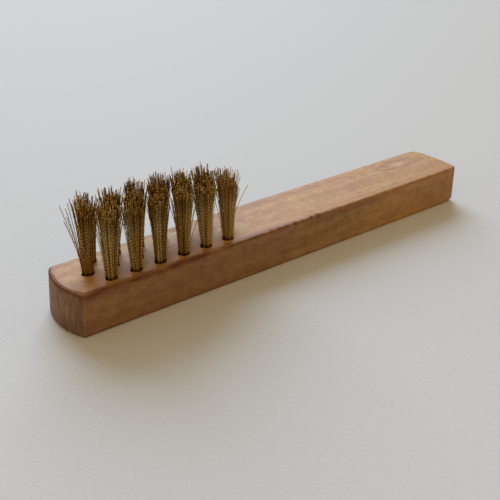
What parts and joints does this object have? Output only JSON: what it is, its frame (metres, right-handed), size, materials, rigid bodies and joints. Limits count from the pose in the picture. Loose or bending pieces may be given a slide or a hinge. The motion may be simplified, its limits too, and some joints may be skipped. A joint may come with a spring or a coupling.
{
  "type": "wire brush",
  "caption": "Straight hardwood block brush with staggered rows of flared brass wire tufts at one end and a plain square grip behind them.",
  "frame": {"origin": "centre of the block's underside, on the surface that the brush lies on", "axes": "+X from the brush head to the grip end along the block, +Y from the front row to the back row, +Z the way the wires point"},
  "size_m": [0.203, 0.028, 0.0455],
  "materials": {
    "wood": "satin, hand-worn",
    "brass_wire": "crimped drawn wire, dark at the cut tips",
    "anchor_steel": "rolled flat wire"
  },
  "bodies": {
    "root": {"handle": "wood", "anchor_front_1": "anchor_steel", "tuft_front_1": "brass_wire", "anchor_front_2": "anchor_steel", "tuft_front_2": "brass_wire", "anchor_front_3": "anchor_steel", "tuft_front_3": "brass_wire", "anchor_front_4": "anchor_steel", "tuft_front_4": "brass_wire", "anchor_front_5": "anchor_steel", "tuft_front_5": "brass_wire", "anchor_front_6": "anchor_steel", "tuft_front_6": "brass_wire", "anchor_middle_1": "anchor_steel", "tuft_middle_1": "brass_wire", "anchor_middle_2": "anchor_steel", "tuft_middle_2": "brass_wire", "anchor_middle_3": "anchor_steel", "tuft_middle_3": "brass_wire", "anchor_middle_4": "anchor_steel", "tuft_middle_4": "brass_wire", "anchor_middle_5": "anchor_steel", "tuft_middle_5": "brass_wire", "anchor_middle_6": "anchor_steel", "tuft_middle_6": "brass_wire", "anchor_middle_7": "anchor_steel", "tuft_middle_7": "brass_wire", "anchor_back_1": "anchor_steel", "tuft_back_1": "brass_wire", "anchor_back_2": "anchor_steel", "tuft_back_2": "brass_wire", "anchor_back_3": "anchor_steel", "tuft_back_3": "brass_wire", "anchor_back_4": "anchor_steel", "tuft_back_4": "brass_wire", "anchor_back_5": "anchor_steel", "tuft_back_5": "brass_wire", "anchor_back_6": "anchor_steel", "tuft_back_6": "brass_wire"}
  },
  "joints": []
}
